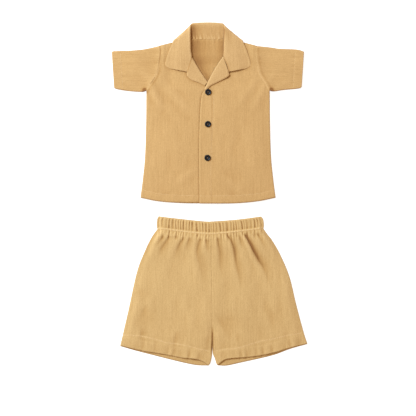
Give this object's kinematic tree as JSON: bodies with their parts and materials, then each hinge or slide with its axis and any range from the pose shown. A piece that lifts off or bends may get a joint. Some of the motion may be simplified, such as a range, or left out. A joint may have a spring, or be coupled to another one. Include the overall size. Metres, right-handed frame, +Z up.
{
  "type": "pyjama set",
  "caption": "Child's short pyjama set laid flat: a buttoned shirt with a notched camp collar and short sleeves above pull-on shorts with a gathered waistband.",
  "frame": {"origin": "centre of the whole layout on the surface that the cloth rests on", "axes": "+X to the viewer's right, +Y from the shorts towards the collar, +Z up out of the surface"},
  "size_m": [0.4306, 0.7556, 0.0088],
  "materials": {
    "shirt_cloth": "crinkled cotton gauze, matte",
    "shorts_cloth": "crinkled cotton gauze, matte",
    "button": "dark navy, satin"
  },
  "bodies": {
    "root": {"shirt_back": "shirt_cloth", "shirt_front_left": "shirt_cloth", "shirt_front_right": "shirt_cloth", "sleeve_left": "shirt_cloth", "sleeve_right": "shirt_cloth", "collar": "shirt_cloth", "lapel_left": "shirt_cloth", "lapel_right": "shirt_cloth", "button_top": "button", "button_middle": "button", "button_bottom": "button", "waistband": "shorts_cloth", "shorts_front_left": "shorts_cloth", "shorts_front_right": "shorts_cloth", "shorts_back_left": "shorts_cloth", "shorts_back_right": "shorts_cloth"}
  },
  "joints": []
}
